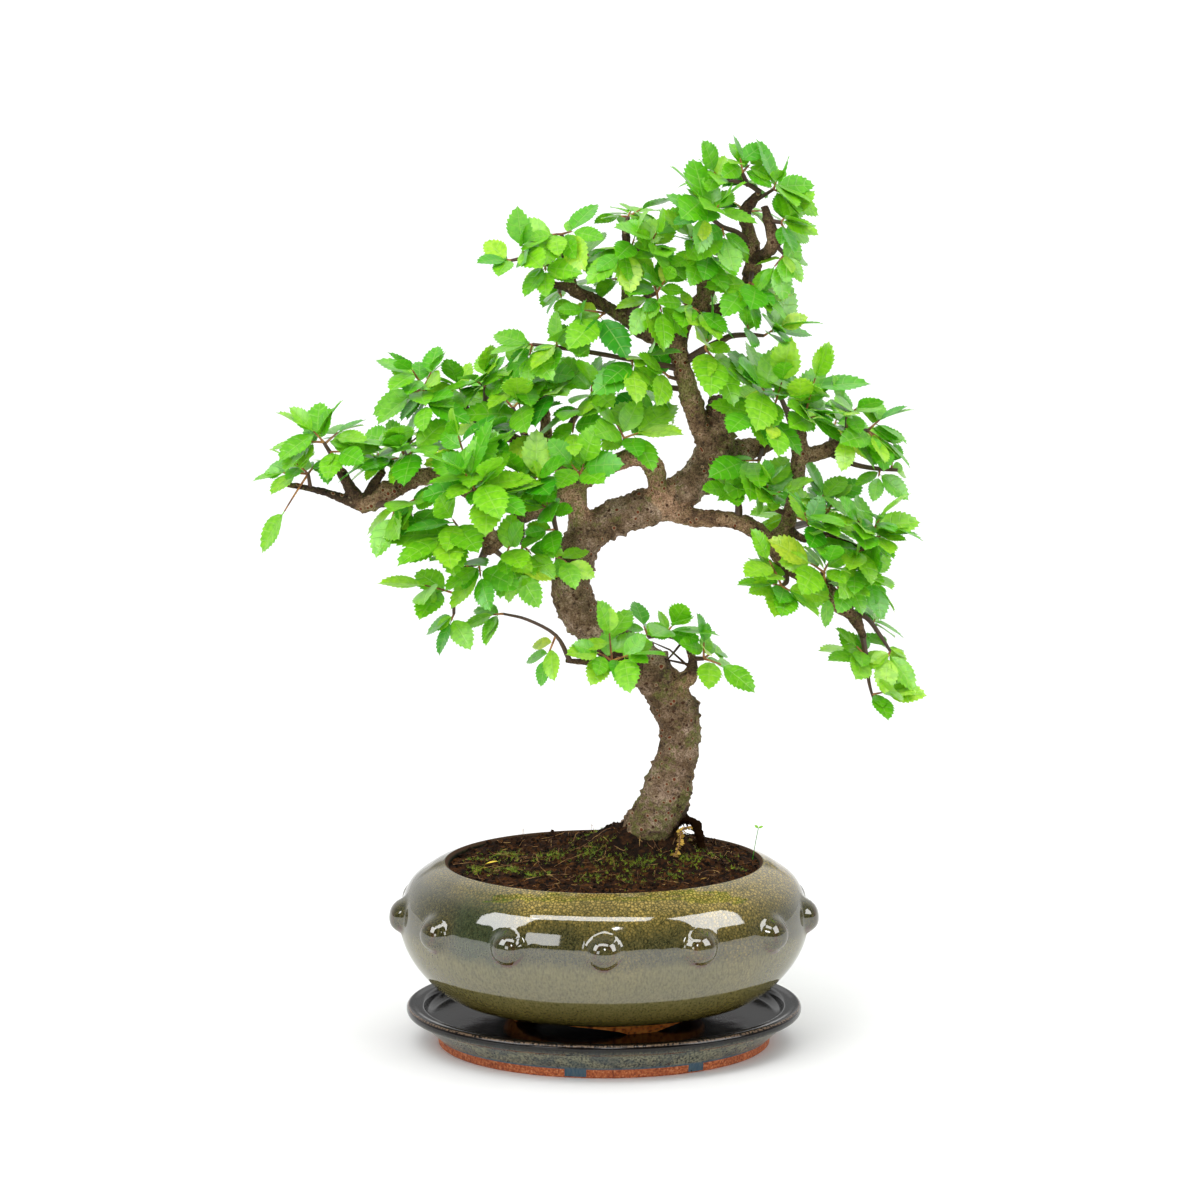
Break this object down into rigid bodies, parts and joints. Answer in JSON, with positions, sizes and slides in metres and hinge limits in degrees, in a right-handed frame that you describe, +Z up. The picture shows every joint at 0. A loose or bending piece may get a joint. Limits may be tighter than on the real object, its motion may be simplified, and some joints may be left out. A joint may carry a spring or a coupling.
{
  "type": "zelkova bonsai",
  "caption": "Small-leaved elm bonsai with an S-shaped trunk and leafy limbs, in an oval studded ceramic pot of soil on an oval saucer.",
  "frame": {"origin": "middle of the saucer's flat underside", "axes": "+Z up along the trunk, -Y towards the side that the picture shows, X along the long axis of the oval pot"},
  "size_m": [0.3198, 0.1739, 0.4608],
  "materials": {
    "dark_glaze": "gloss",
    "green_glaze": "gloss",
    "black_mesh": "matte",
    "soil": "matte",
    "bark": "matte",
    "leaf": "satin"
  },
  "bodies": {
    "root": {"saucer": "dark_glaze", "pot": "green_glaze", "drain_mesh_left": "black_mesh", "drain_mesh_right": "black_mesh", "soil": "soil", "trunk_and_limbs": "bark", "crown_top": "leaf", "crown_right": "leaf", "crown_front": "leaf", "crown_side": "leaf", "crown_hanging": "leaf", "crown_back": "leaf", "crown_inner": "leaf", "leader_back": "leaf", "shoulder_top": "leaf", "shoulder_front": "leaf", "shoulder_cross": "leaf", "shoulder_back": "leaf", "shoulder_end": "leaf", "shoulder_left": "leaf", "long_branch": "leaf", "leader_left": "leaf", "loop_top": "leaf", "leader_right": "leaf", "right_front": "leaf", "right_back": "leaf", "upright_top": "leaf", "arm_top": "leaf", "arm_end": "leaf", "arm_under": "leaf", "arm_back": "leaf", "upright_side": "leaf", "inner_front": "leaf", "inner_end": "leaf", "front_twigs": "leaf", "knob_rise": "leaf", "tail": "leaf", "tail_side": "leaf", "lower_back": "leaf", "front_top": "leaf", "tall_shoot": "leaf", "limb_front": "leaf", "back_top": "leaf", "back_end": "leaf", "back_mid": "leaf", "riser_left": "leaf", "mid_shoot": "leaf", "far_back": "leaf", "left_top": "leaf", "left_under": "leaf", "front_side": "leaf", "front_hanging": "leaf", "hanging_right": "leaf", "left_back": "leaf", "tip_top": "leaf", "tip_end": "leaf", "low_arch": "leaf", "low_front": "leaf", "low_cross": "leaf", "low_right": "leaf"}
  },
  "joints": []
}
